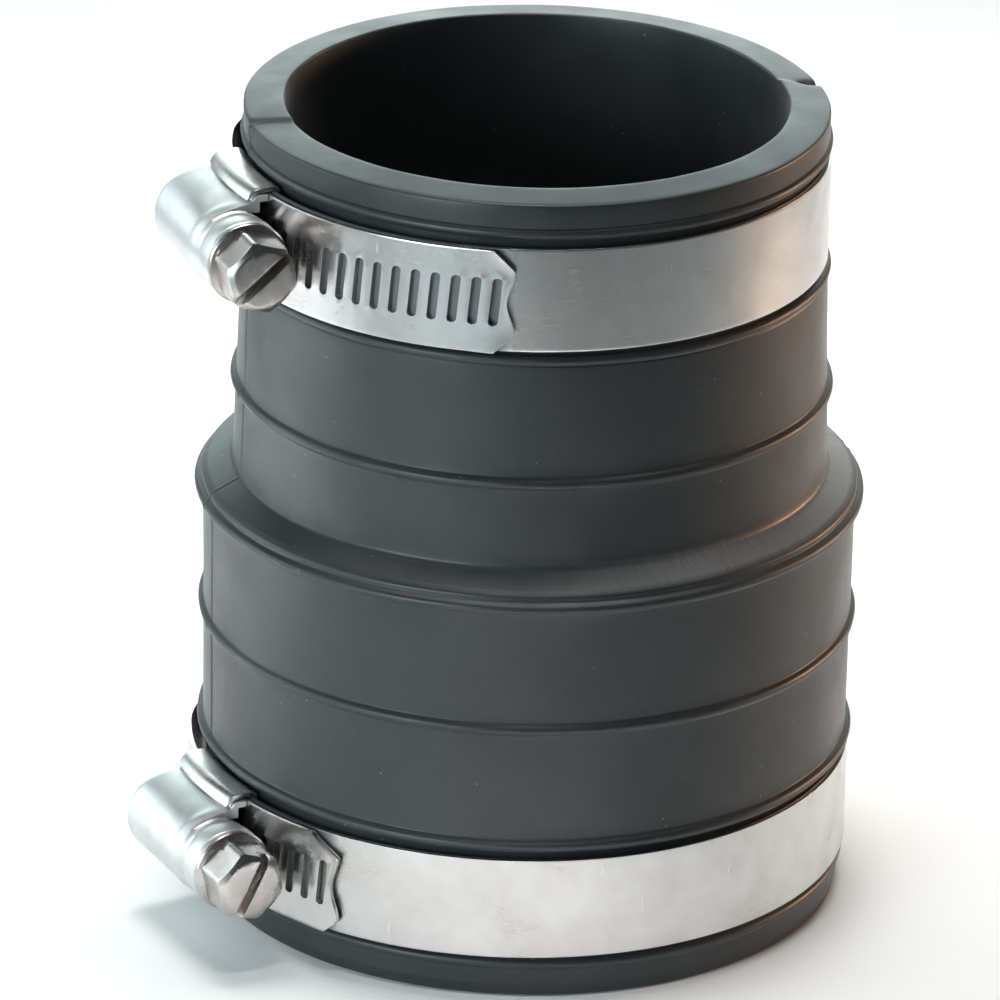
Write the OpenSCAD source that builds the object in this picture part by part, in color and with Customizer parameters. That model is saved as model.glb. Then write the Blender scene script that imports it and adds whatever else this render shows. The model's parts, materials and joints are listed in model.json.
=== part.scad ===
// Stepped flexible pipe coupling: a moulded sleeve and two worm-drive band clamps.
// The sleeve stands on its larger end. The origin is the centre of that end face, +Z runs up the bore.
// Angles round the sleeve start at -Y and grow towards +X.

/* [Sleeve] */
// Height of the sleeve
sleeve_h = 100; // [98.5:0.5:106]
// Bore of the upper, smaller socket
upper_bore_d = 60.4; // [59.8:0.1:61]
// Bore of the lower, larger socket
lower_bore_d = 70; // [69.4:0.1:70.6]
// Height of the ledge's outer edge, where the two sizes meet
ledge_z = 52.2; // [50:0.1:54]
// Height of the bead half way up the upper part
upper_bead_z = 64.9; // [60:0.1:75]
// Height of the bead half way up the lower part
lower_bead_z = 35.1; // [25:0.1:45]
// Radius of the moulded half-round beads
bead_r = 0.65; // [0.5:0.05:0.7]

/* [Clamps] */
// Width of both bands
band_w = 12.7; // [12:0.1:13]
// Thickness of both bands
band_t = 0.6; // [0.5:0.05:0.65]
// Height of the upper band's lower edge
upper_band_z = 81.7; // [80:0.1:82.5]
// Height of the lower band's lower edge
lower_band_z = 5.8; // [5.1:0.1:8]
// Angle of the upper clamp's housing round the sleeve
upper_housing_angle = -68; // [-180:1:180]
// Angle of the lower clamp's housing round the sleeve
lower_housing_angle = -62; // [-180:1:180]
// Slots between the upper screw and the end of its band
upper_tail_slots = 16; // [12:1:18]
// Slots between the lower screw and the end of its band
lower_tail_slots = 8; // [7:1:14]

/* [Screws] */
// Distance that the band moves for one turn of the screw
worm_pitch = 2.45; // [2.4:0.05:2.5]
// Outer radius of the worm thread
thread_r = 4.1; // [4:0.05:4.1]
// Width across the flats of the hex head
hex_af = 7.94; // [7:0.02:8]
// Length of the hex head
hex_l = 5.2; // [4:0.1:6.5]
// Lean of the drive slot in the upper screw's head
upper_slot_angle = -51; // [-90:1:90]
// Lean of the drive slot in the lower screw's head
lower_slot_angle = -28; // [-90:1:90]

/* [Hidden] */
$fn = 96;
eps = 0.01;
// How far a cutter reaches past what it cuts
over = 1;

// Sleeve radii, each as a wall over its bore
upper_bore_r = upper_bore_d / 2;
lower_bore_r = lower_bore_d / 2;
rim_r = upper_bore_r + 4.9;
upper_seat_r = upper_bore_r + 4.4;
upper_top_r = upper_bore_r + 5.1;
upper_root_r = upper_bore_r + 5.9;
lower_seat_r = lower_bore_r + 4.1;
foot_r = lower_bore_r + 4.15;
lower_foot_r = lower_bore_r + 4.45;
lower_top_r = lower_bore_r + 4.65;
ledge_r = lower_bore_r + 4.85;

// Radii of the beads' centres, from the rim down to the foot
rim_bead_r = rim_r - 0.3;
upper_band_bead_r = upper_top_r - 0.3;
upper_mid_bead_r = (upper_top_r + upper_root_r) / 2 + 0.1;
ledge_bead_r = ledge_r + 0.2;
lower_mid_bead_r = (lower_foot_r + lower_top_r) / 2;
lower_band_bead_r = lower_foot_r + 0.1;
foot_bead_r = foot_r - 0.1;

// Sleeve heights
bead_gap = 0.85;
bead_step = bead_gap + bead_r;
upper_band_top = upper_band_z + band_w;
lower_band_top = lower_band_z + band_w;
root_z = ledge_z + 2.1;
ledge_round = 0.6;
under_ledge_z = ledge_z - 1.4;
rim_rise = 0.5;
foot_draft = 0.3;
foot_draft_h = 1.5;
step_bottom_z = ledge_z - 4.5;
step_top_z = ledge_z - 0.5;

// Band loop: a slack ring that rests on the sleeve opposite its housing
slip = 0.05;
slack = 0.55;
lap_gap = 0.08;
band_start = -6;
ramp_start = 323;
ramp_end = 333;
band_facets = 180;
slot_w = 1.15;
slot_l = 6;
first_slot = -6;
end_margin = 2.35;
end_clip = 2.6;
notch_w = 5;
notch_d = 1;

// Housing and saddle
sheet_t = 0.7;
saddle_t = 0.6;
run_gap = 0.1;
edge_gap = 0.12;
tunnel_from = -8.5;
tunnel_to = 7.6;
tunnel_depth = 1.5;
foot_overlap = 0.5;
flare_h = 1.86;
flare_half_w = 5.5;
flare_rise = 1.3;
front_open_h = 2.2;
saddle_from = -8.3;
saddle_to = 6.3;
housing_flange_to = saddle_to + 0.4;
housing_flange_half_w = band_w / 2 - 0.05;
hem_start_h = 0.7;
hem_bend_r = 1.25;
hem_bend = 75;
hem_steps = 5;
saddle_half_w = band_w / 2 + edge_gap;
collar_r = 4.95;
neck_r = 4.4;
neck_to = 9.3;
collar_to = 10.9;

// Screw
bite = 0.4;
core_r = 3.1;
journal_r = 3;
tip_r = 1.5;
shaft_gap = 0.05;
flange_r = 5;
flange_from = 11;
flange_t = 1;
drive_slot_w = 1.2;
drive_slot_d = 1.7;
hex_angle = 13;
hex_cone_rise = 3;
hex_front_drop = 0.9;
thread_from = -7;
core_from = -7.6;
end_play = 0.2;
thread_sink = 0.2;
thread_turns = 5.25;
thread_steps = 20;
crest_half_w = 0.2;
root_half_w = 0.5;
tunnel_r = thread_r + 0.2;
barrel_r = tunnel_r + sheet_t;

// Radii of one clamp about the centre of its own loop
function loop_r(seat_r) = seat_r + slip + slack;
function lap_r(seat_r) = loop_r(seat_r) + band_t + lap_gap;
function tail_r(seat_r) = lap_r(seat_r) + band_t;
function screw_r(seat_r) = tail_r(seat_r) + thread_r - bite;
function slot_step(seat_r) = asin(worm_pitch / (tail_r(seat_r) - bite / 2));
function degrees_at(length, r) = length / r * 180 / PI;
function band_end(seat_r, tail_slots) =
    360 + tail_slots * slot_step(seat_r) + degrees_at(end_margin, tail_r(seat_r));

// A point of a rolled hem's section, as [radius, height over the band's middle]
function hem_point(seat_r, r, i) =
    let (a = hem_bend * i / hem_steps)
    [tail_r(seat_r) + hem_start_h + r * sin(a), saddle_half_w - hem_bend_r + r * cos(a)];

// A half section and its mirror image below the band's middle
function both_halves(half) =
    concat(half, [for (i = [len(half) - 1 : -1 : 0]) [half[i][0], -half[i][1]]]);

// A point at radius r and angle a, from -Y towards +X
function round_at(r, a) = [r * sin(a), -r * cos(a)];

// Inner radius of the band along its length: inner layer, ramp, outer layer
function band_r(seat_r, a) =
    loop_r(seat_r)
    + (band_t + lap_gap) * min(1, max(0, (a - ramp_start) / (ramp_end - ramp_start)));

module rubber() { color([0.13, 0.14, 0.15]) children(); }
module steel() { color([0.78, 0.78, 0.77]) children(); }
module zinc() { color([0.72, 0.73, 0.74]) children(); }

// A bar of the given profile (r, z) swept round the Z axis from one angle to another
module arc_sweep(from, to) {
    rotate([0, 0, from - 90]) rotate_extrude(angle = to - from) children();
}

// Moves one clamp's pieces from their own frame, housing at -Y, to their place on the sleeve
module place_clamp(housing_angle, band_z) {
    rotate([0, 0, housing_angle]) translate([0, -slack, band_z]) children();
}

module bead(r, z) {
    translate([r, z]) circle(r = bead_r, $fn = 24);
}

module sleeve() {
    outline = [
        [upper_bore_r, sleeve_h],
        [upper_bore_r, step_top_z],
        [lower_bore_r, step_bottom_z],
        [lower_bore_r, 0],
        [foot_r - foot_draft, 0],
        [foot_r, foot_draft_h],
        [foot_r, lower_band_z - bead_step],
        [lower_seat_r, lower_band_z - bead_step],
        [lower_seat_r, lower_band_top + bead_step],
        [lower_foot_r, lower_band_top + bead_step],
        [lower_top_r, under_ledge_z],
        [ledge_r, under_ledge_z],
        [ledge_r, ledge_z],
        [ledge_r - ledge_round, ledge_z + ledge_round],
        [upper_root_r, root_z],
        [upper_top_r, upper_band_z - bead_step],
        [upper_seat_r, upper_band_z - bead_step],
        [upper_seat_r, upper_band_top + bead_step],
        [rim_r, upper_band_top + bead_step],
        [rim_r, sleeve_h - rim_rise]
    ];
    rubber() rotate_extrude($fn = 180) {
        polygon(outline);
        bead(rim_bead_r, upper_band_top + bead_step);
        bead(upper_band_bead_r, upper_band_z - bead_step);
        bead(upper_mid_bead_r, upper_bead_z);
        bead(ledge_bead_r, under_ledge_z);
        bead(lower_mid_bead_r, lower_bead_z);
        bead(lower_band_bead_r, lower_band_top + bead_step);
        bead(foot_bead_r, lower_band_z - bead_step);
    }
}

// One strap: a loop whose slotted end laps over its start and runs on past the screw
module band(seat_r, tail_slots) {
    end = band_end(seat_r, tail_slots);
    turn = (end - band_start) / band_facets;
    angles = [for (i = [0 : band_facets]) band_start + i * turn];
    inside = [for (a = angles) round_at(band_r(seat_r, a), a)];
    outside = [for (i = [band_facets : -1 : 0]) round_at(band_r(seat_r, angles[i]) + band_t, angles[i])];
    steel() difference() {
        linear_extrude(band_w) polygon(concat(inside, outside));
        for (i = [first_slot : tail_slots]) rotate([0, 0, i * slot_step(seat_r)]) slot_cutter(seat_r);
        rotate([0, 0, end]) end_cutter(seat_r);
    }
}

// The slot leans by the worm's lead angle, so that the thread passes through it square
module slot_cutter(seat_r) {
    lead_angle = atan(worm_pitch / (2 * PI * thread_r));
    translate([0, -tail_r(seat_r), band_w / 2])
        rotate([0, lead_angle, 0])
            cube([slot_w, 2 * (band_t + lap_gap / 2), slot_l], center = true);
}

// Clips both corners of the band's end and cuts a shallow notch between them
module end_cutter(seat_r) {
    outline = [
        [-end_clip, -eps], [over, -eps], [over, band_w + eps], [-end_clip, band_w + eps],
        [0, band_w - end_clip], [0, (band_w + notch_w) / 2], [-notch_d, band_w / 2],
        [0, (band_w - notch_w) / 2], [0, end_clip]
    ];
    translate([0, -tail_r(seat_r) + band_t + lap_gap / 2, 0])
        rotate([90, 0, 0])
            linear_extrude(2 * band_t) polygon(outline);
}

// Plate under the band with both edges rolled up and over the housing's flanges
module saddle(seat_r) {
    plate_r = loop_r(seat_r) - slip - saddle_t;
    edge_r = tail_r(seat_r) + run_gap + sheet_t;
    from = degrees_at(saddle_from, edge_r);
    to = degrees_at(saddle_to, edge_r);
    half = concat(
        [[plate_r, saddle_half_w + saddle_t]],
        [for (i = [0 : hem_steps]) hem_point(seat_r, hem_bend_r + saddle_t, i)],
        [for (i = [hem_steps : -1 : 0]) hem_point(seat_r, hem_bend_r, i)],
        [[plate_r + saddle_t, saddle_half_w]]
    );
    zinc() translate([0, 0, band_w / 2]) arc_sweep(from, to) polygon(both_halves(half));
}

// Cross-section of the tunnel: a round crown on two straight sides, flared at the foot
module tunnel_profile(r, foot_half_w, height, foot) {
    crown = [for (a = [0 : 10 : 180]) [r * cos(a), height + r * sin(a)]];
    polygon(concat(
        crown,
        [[-r, foot + flare_rise], [-foot_half_w, foot], [-foot_half_w, 0], [foot_half_w, 0],
         [foot_half_w, foot], [r, foot + flare_rise]]
    ));
}

// The tunnel's profile swept along X from one place to another, standing outwards from -Y
module tunnel_sweep(from, to, r, foot_half_w, seat_r) {
    base_r = tail_r(seat_r) - tunnel_depth;
    translate([from, -base_r, band_w / 2])
        rotate([90, 0, 90])
            rotate([0, 0, 90]) linear_extrude(to - from)
                tunnel_profile(r, foot_half_w, screw_r(seat_r) - base_r, tunnel_depth + flare_h);
}

// A cylinder on the screw's axis
module on_screw_axis(from, to, r, seat_r) {
    translate([from, -screw_r(seat_r), band_w / 2])
        rotate([0, 90, 0]) cylinder(h = to - from, r = r);
}

// Foot of the housing: its flanges lie inside the saddle's hems
module flanges(seat_r) {
    floor_r = tail_r(seat_r) + run_gap;
    from = degrees_at(tunnel_from, floor_r + sheet_t);
    to = degrees_at(housing_flange_to, floor_r + sheet_t);
    half = concat(
        [[floor_r - foot_overlap, housing_flange_half_w]],
        [for (i = [0 : hem_steps])
            let (p = hem_point(seat_r, hem_bend_r, i)) [p[0], min(p[1], housing_flange_half_w)]]
    );
    translate([0, 0, band_w / 2]) arc_sweep(from, to) polygon(both_halves(half));
}

// Hollow under the flanges, which leaves them one sheet thick
module under_flanges(seat_r) {
    half_w = housing_flange_half_w - sheet_t;
    reach = degrees_at(2 * collar_to, tail_r(seat_r));
    translate([0, 0, band_w / 2]) arc_sweep(-reach, reach)
        translate([0, -half_w]) square([tail_r(seat_r) + flare_h - sheet_t, 2 * half_w]);
}

module housing(seat_r) {
    floor_r = tail_r(seat_r) + run_gap;
    front_r = tail_r(seat_r) + front_open_h;
    zinc() difference() {
        union() {
            difference() {
                union() {
                    flanges(seat_r);
                    tunnel_sweep(tunnel_from, tunnel_to, barrel_r, flare_half_w, seat_r);
                }
                under_flanges(seat_r);
                translate([housing_flange_to, -front_r, -over])
                    cube([tunnel_to, front_r, band_w + 2 * over]);
            }
            on_screw_axis(tunnel_to - over, neck_to + eps, neck_r, seat_r);
            on_screw_axis(neck_to, collar_to, collar_r, seat_r);
        }
        tunnel_sweep(tunnel_from + sheet_t, tunnel_to - sheet_t, tunnel_r, tunnel_r, seat_r);
        on_screw_axis(tunnel_to - over, collar_to + over, journal_r + shaft_gap, seat_r);
        on_screw_axis(tunnel_from - over, 0, tip_r + shaft_gap, seat_r);
        translate([0, 0, -over]) cylinder(h = band_w + 2 * over, r = floor_r, $fn = 180);
    }
}

// Worm thread along +Z: one trapezoid rib swept along a helix
module worm_thread() {
    count = thread_turns * thread_steps;
    sunk_r = core_r - thread_sink;
    rib = [[sunk_r, -root_half_w], [thread_r, -crest_half_w], [thread_r, crest_half_w], [sunk_r, root_half_w]];
    points = [
        for (i = [0 : count], p = rib)
            let (a = 360 * i / thread_steps)
            [p[0] * cos(a), p[0] * sin(a), worm_pitch * i / thread_steps + p[1]]
    ];
    sides = [
        for (i = [0 : count - 1], k = [0 : 3])
            let (a = 4 * i + k, b = 4 * i + (k + 1) % 4)
            each [[a, b, b + 4], [a, b + 4, a + 4]]
    ];
    last = 4 * count;
    ends = [[2, 1, 0], [3, 2, 0], [last, last + 1, last + 2], [last, last + 2, last + 3]];
    polyhedron(points, concat(sides, ends));
}

// Head, flange, journal, worm and tip, on an axis that runs through the housing
module screw(seat_r, slot_angle) {
    hex_from = flange_from + flange_t;
    hex_to = hex_from + hex_l;
    across_corners_r = hex_af / 2 / cos(30);
    thread_start_angle = 90 + 360 * thread_from / worm_pitch;
    steel() {
        difference() {
            union() {
                on_screw_axis(tunnel_from, thread_from, tip_r, seat_r);
                on_screw_axis(core_from, tunnel_to - sheet_t - end_play, core_r, seat_r);
                on_screw_axis(0, flange_from + eps, journal_r, seat_r);
                on_screw_axis(flange_from, hex_from, flange_r, seat_r);
                intersection() {
                    translate([hex_from - eps, -screw_r(seat_r), band_w / 2])
                        rotate([hex_angle, 0, 0]) rotate([0, 90, 0])
                            cylinder(h = hex_l + eps, r = across_corners_r, $fn = 6);
                    translate([flange_from, -screw_r(seat_r), band_w / 2])
                        rotate([0, 90, 0])
                            cylinder(
                                h = hex_l + flange_t,
                                r1 = across_corners_r + hex_cone_rise,
                                r2 = across_corners_r - hex_front_drop);
                }
            }
            translate([hex_to - drive_slot_d, -screw_r(seat_r), band_w / 2])
                rotate([slot_angle, 0, 0])
                    translate([0, -drive_slot_w / 2, -flange_r]) cube([hex_l, drive_slot_w, 2 * flange_r]);
        }
        translate([thread_from, -screw_r(seat_r), band_w / 2])
            rotate([0, 90, 0]) rotate([0, 0, thread_start_angle]) worm_thread();
    }
}

module upper_band() { place_clamp(upper_housing_angle, upper_band_z) band(upper_seat_r, upper_tail_slots); }
module upper_saddle() { place_clamp(upper_housing_angle, upper_band_z) saddle(upper_seat_r); }
module upper_housing() { place_clamp(upper_housing_angle, upper_band_z) housing(upper_seat_r); }
module upper_screw() { place_clamp(upper_housing_angle, upper_band_z) screw(upper_seat_r, upper_slot_angle); }
module lower_band() { place_clamp(lower_housing_angle, lower_band_z) band(lower_seat_r, lower_tail_slots); }
module lower_saddle() { place_clamp(lower_housing_angle, lower_band_z) saddle(lower_seat_r); }
module lower_housing() { place_clamp(lower_housing_angle, lower_band_z) housing(lower_seat_r); }
module lower_screw() { place_clamp(lower_housing_angle, lower_band_z) screw(lower_seat_r, lower_slot_angle); }

sleeve();
upper_band();
upper_saddle();
upper_housing();
upper_screw();
lower_band();
lower_saddle();
lower_housing();
lower_screw();
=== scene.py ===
import json
import math

import bmesh
import bpy
import numpy as np
from mathutils import Matrix, Vector


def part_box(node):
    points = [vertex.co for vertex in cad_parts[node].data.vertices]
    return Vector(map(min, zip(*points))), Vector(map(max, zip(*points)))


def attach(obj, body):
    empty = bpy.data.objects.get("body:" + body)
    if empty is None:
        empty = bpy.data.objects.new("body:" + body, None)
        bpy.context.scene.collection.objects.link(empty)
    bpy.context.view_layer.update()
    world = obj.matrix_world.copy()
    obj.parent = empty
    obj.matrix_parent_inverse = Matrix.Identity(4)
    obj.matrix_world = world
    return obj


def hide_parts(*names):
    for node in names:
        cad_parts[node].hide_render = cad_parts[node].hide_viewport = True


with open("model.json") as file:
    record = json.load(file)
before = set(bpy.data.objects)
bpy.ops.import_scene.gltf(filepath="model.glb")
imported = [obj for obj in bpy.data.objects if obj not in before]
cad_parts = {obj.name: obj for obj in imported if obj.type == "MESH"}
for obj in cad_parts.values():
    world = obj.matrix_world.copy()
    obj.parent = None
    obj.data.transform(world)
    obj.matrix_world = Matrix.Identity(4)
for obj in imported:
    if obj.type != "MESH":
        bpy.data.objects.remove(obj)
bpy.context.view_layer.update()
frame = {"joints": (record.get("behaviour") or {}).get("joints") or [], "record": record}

# Stepped flexible pipe coupling: a moulded rubber sleeve and two worm-drive band clamps.
# Shapes are worked out in millimetres, and turned into metres when a mesh is made.
# Angles round the sleeve are in degrees, from -Y towards +X. Lights and camera are placed in metres.

MM = 0.001

# ---- driving dimensions

BAND_T = 0.6  # band thickness
LAP_GAP = 0.08  # between the band's two layers
THREAD_R = 4.1  # worm thread
BITE = 0.4  # how deep the thread reaches into the slots
WORM_PITCH = 2.45
SHEET_T = 0.7  # housing sheet
SADDLE_T = 0.6  # saddle sheet
RUN_GAP = 0.1  # between the tail and the housing's feet
EDGE_GAP = 0.12  # between the tail's edges and the saddle's hems
BEAD_R = 0.65  # beads on the sleeve
BEAD_STEP = 1.5  # from a band's edge to the bead beside it
PARTING = (-74.5, 105.5)  # where the two mould halves met


def node_box(name):
    """Lowest and highest corner of a CAD node, in millimetres."""
    low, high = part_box(name)
    return np.array(low) / MM, np.array(high) / MM


def named(rows, name):
    """The row of a list that has this name."""
    return next(row for row in rows if row["name"] == name)


def joint_place(name):
    """A point on the joint's axis, in millimetres."""
    return np.array(named(frame["joints"], name)["pos_m"]) / MM


def mount_radius(name):
    return named(frame["record"]["mounts"], name)["dims"]["r_mm"]


SLEEVE_HIGH = node_box("sleeve")[1]
SLEEVE_H = SLEEVE_HIGH[2]
UPPER_BORE = mount_radius("upper_socket")
LOWER_BORE = mount_radius("lower_socket")


class Clamp:
    """Where one clamp sits, and the radii of its pieces about its own loop's centre."""

    def __init__(self, size, tail_slots, end_shape, drive_slot_angle):
        self.size = size
        self.tail_slots = tail_slots
        self.end_shape = end_shape
        self.drive_slot_angle = drive_slot_angle
        low, high = node_box(size + "_band")
        self.band_z = low[2]
        self.band_w = high[2] - low[2]
        centre = joint_place(size + "_band_feed")
        out = (joint_place(size + "_screw_turn") - centre)[:2]
        self.centre = centre[:2]
        self.screw_r = float(np.hypot(*out))
        self.angle = math.degrees(math.atan2(out[0], -out[1]))
        self.tail_r = self.screw_r - THREAD_R + BITE
        self.loop_r = self.tail_r - 2 * BAND_T - LAP_GAP
        self.slot_step = math.degrees(math.asin(WORM_PITCH / (self.tail_r - BITE / 2)))

    def place(self, points):
        """Turns points from the clamp's axes, housing at -Y and head at +X, to the coupling's."""
        c, s = math.cos(math.radians(self.angle)), math.sin(math.radians(self.angle))
        p = np.asarray(points, float)
        x = c * p[:, 0] - s * p[:, 1] + self.centre[0]
        y = s * p[:, 0] + c * p[:, 1] + self.centre[1]
        return np.stack([x, y, p[:, 2] + self.band_z], axis=1)


# ---- small mesh tools

def round_at(r, degrees, z):
    """Points at radius r and an angle from -Y towards +X."""
    a = np.radians(degrees)
    return np.stack(np.broadcast_arrays(r * np.sin(a), -r * np.cos(a), z), axis=-1)


NEARLY_STRAIGHT = 0.01  # radians from straight, below which a corner isn't rounded
SIDE_SHARE = 0.49  # most of a side that one round may take


def rounded(corners, steps=5):
    """A path with its corners rounded. Each corner is (u, v, radius); the path is closed."""
    path = []
    n = len(corners)
    for i, (u, v, radius) in enumerate(corners):
        here = np.array([u, v], float)
        if radius <= 0:
            path.append(here)
            continue
        back = np.array(corners[i - 1][:2]) - here
        ahead = np.array(corners[(i + 1) % n][:2]) - here
        back_l, ahead_l = np.linalg.norm(back), np.linalg.norm(ahead)
        back, ahead = back / back_l, ahead / ahead_l
        half = math.acos(max(-1.0, min(1.0, float(back @ ahead)))) / 2
        if half > math.pi / 2 - NEARLY_STRAIGHT:
            path.append(here)
            continue
        reach = min(radius / math.tan(half), SIDE_SHARE * back_l, SIDE_SHARE * ahead_l)
        radius = reach * math.tan(half)
        middle = here + (back + ahead) / np.linalg.norm(back + ahead) * radius / math.sin(half)
        start, end = here + back * reach - middle, here + ahead * reach - middle
        a0, a1 = math.atan2(start[1], start[0]), math.atan2(end[1], end[0])
        turn = (a1 - a0 + math.pi) % (2 * math.pi) - math.pi
        for k in range(steps + 1):
            a = a0 + turn * k / steps
            path.append(middle + radius * np.array([math.cos(a), math.sin(a)]))
    return np.array(path)


def loft(rings, cap_start=True, cap_end=True):
    """Faces between rings of the same number of points. Each ring is closed."""
    n = len(rings[0])
    faces = []
    for i in range(len(rings) - 1):
        a, b = i * n, (i + 1) * n
        for k in range(n):
            m = (k + 1) % n
            faces.append((a + k, a + m, b + m, b + k))
    if cap_start:
        faces.append(tuple(range(n - 1, -1, -1)))
    if cap_end:
        faces.append(tuple(range((len(rings) - 1) * n, len(rings) * n)))
    return np.concatenate(rings), faces


def smoothstep(x):
    """Eases from 0 to 1 while x goes from 0 to 1."""
    x = np.clip(x, 0, 1)
    return x * x * (3 - 2 * x)


def hump(x, width):
    """A smooth hump of height 1 round x = 0."""
    return np.exp(-((x / width) ** 2))


MERGE_DISTANCE = 1e-7  # metres


def add_object(name, data):
    """Adds an object to the scene."""
    made = bpy.data.objects.new(name, data)
    bpy.context.scene.collection.objects.link(made)
    return made


def new_object(name, points, faces):
    """A mesh object from millimetre points, with its normals outwards."""
    mesh = bpy.data.meshes.new(name)
    mesh.from_pydata([tuple(p) for p in np.asarray(points, float) * MM], [], faces)
    work = bmesh.new()
    work.from_mesh(mesh)
    bmesh.ops.remove_doubles(work, verts=work.verts, dist=MERGE_DISTANCE)
    bmesh.ops.recalc_face_normals(work, faces=work.faces)
    work.to_mesh(mesh)
    work.free()
    return add_object(name, mesh)


def apply_modifiers(piece):
    """Replaces the piece's mesh by the mesh that its modifiers make."""
    graph = bpy.context.evaluated_depsgraph_get()
    mesh = bpy.data.meshes.new_from_object(piece.evaluated_get(graph), depsgraph=graph)
    piece.modifiers.clear()
    piece.data = mesh


def combine(piece, tools, operation):
    """One exact boolean with each tool in turn. The tools are used up."""
    for tool in tools:
        step = piece.modifiers.new("combine", "BOOLEAN")
        step.operation = operation
        step.solver = "EXACT"
        step.object = tool
        apply_modifiers(piece)
        bpy.data.objects.remove(tool)


def soften(piece, width, angle):
    """Small rounds on the edges sharper than angle."""
    bevel = piece.modifiers.new("soften", "BEVEL")
    bevel.width = width * MM
    bevel.segments = 2
    bevel.limit_method = "ANGLE"
    bevel.angle_limit = math.radians(angle)
    bevel.use_clamp_overlap = True
    bevel.harden_normals = False
    apply_modifiers(piece)


def finish_piece(piece, material, body, node, sharp):
    """Gives a piece its material and body, and hides the CAD node that it stands in for. Edges over
    sharp degrees stay crisp.
    """
    piece.data.materials.clear()
    piece.data.materials.append(material)
    piece.data.shade_smooth()
    piece.data.set_sharp_from_angle(angle=math.radians(sharp))
    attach(piece, body)
    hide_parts(node)


# ---- materials

LINE_STRETCH = 0.3  # how fast the radial lines change with height
DOT_EDGE = 0.5  # share of a dot's radius that is fully solid
GATE_EDGE = 0.03  # softness of the gate that leaves some dashes out
MIX_A, MIX_B, MIX_RESULT = 6, 7, 2  # colour sockets of the Mix node


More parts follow.
